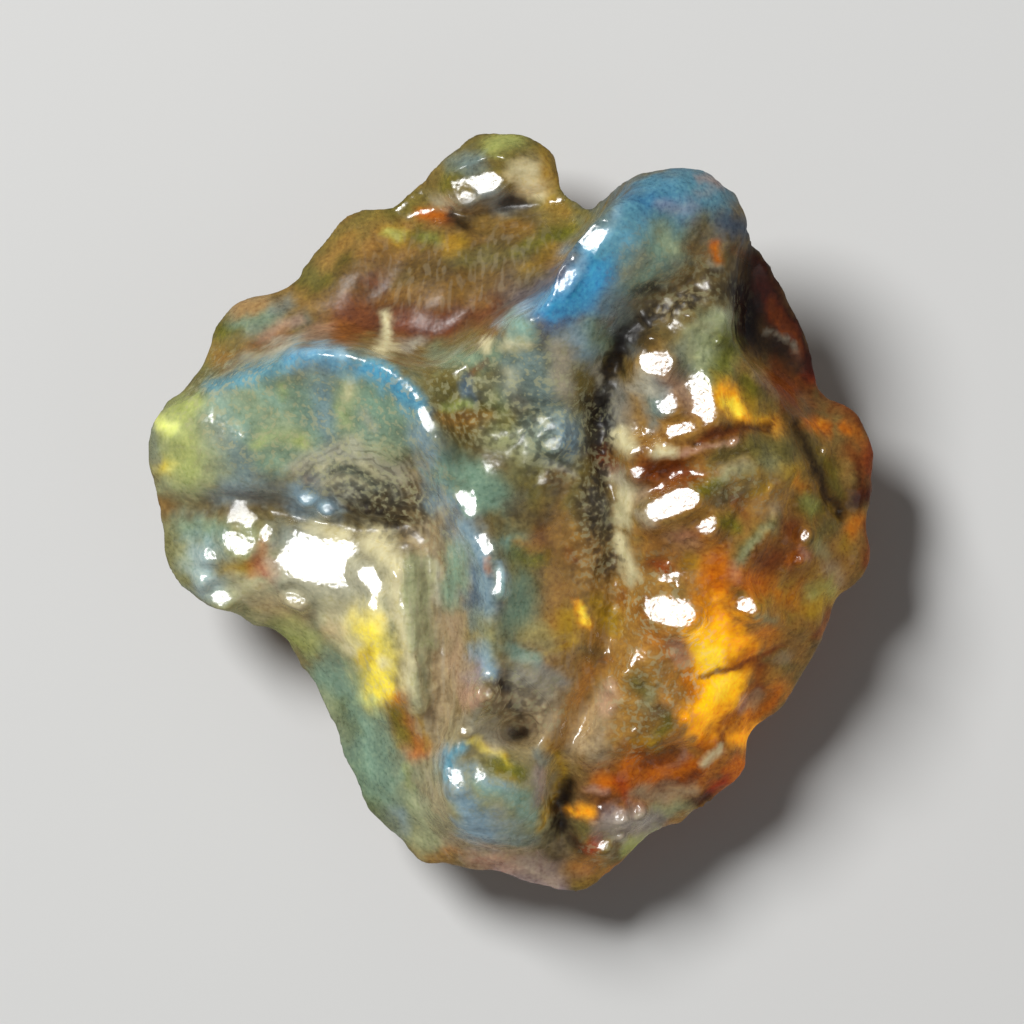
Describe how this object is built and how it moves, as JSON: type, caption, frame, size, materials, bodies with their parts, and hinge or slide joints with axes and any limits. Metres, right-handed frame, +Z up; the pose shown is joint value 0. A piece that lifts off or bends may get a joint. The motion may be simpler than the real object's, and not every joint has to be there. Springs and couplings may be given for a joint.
{
  "type": "rough amber stone",
  "caption": "Rough unpolished lump of blue amber with a raised horn, a forked ridge, a crusted crack and a bumpy amber-orange face, lying on a flat natural break.",
  "frame": {"origin": "middle of the stone's bounding box in plan, on the surface that it rests on", "axes": "+Z up from the flat break, +X towards the amber-orange face, +Y towards the horn's end of the stone"},
  "size_m": [0.0291, 0.0305, 0.0147],
  "materials": {
    "amber": "translucent fossil resin, naturally glossy and bumpy, with a milky blue glow on its ridges"
  },
  "bodies": {
    "root": {"amber_lump": "amber"}
  },
  "joints": []
}
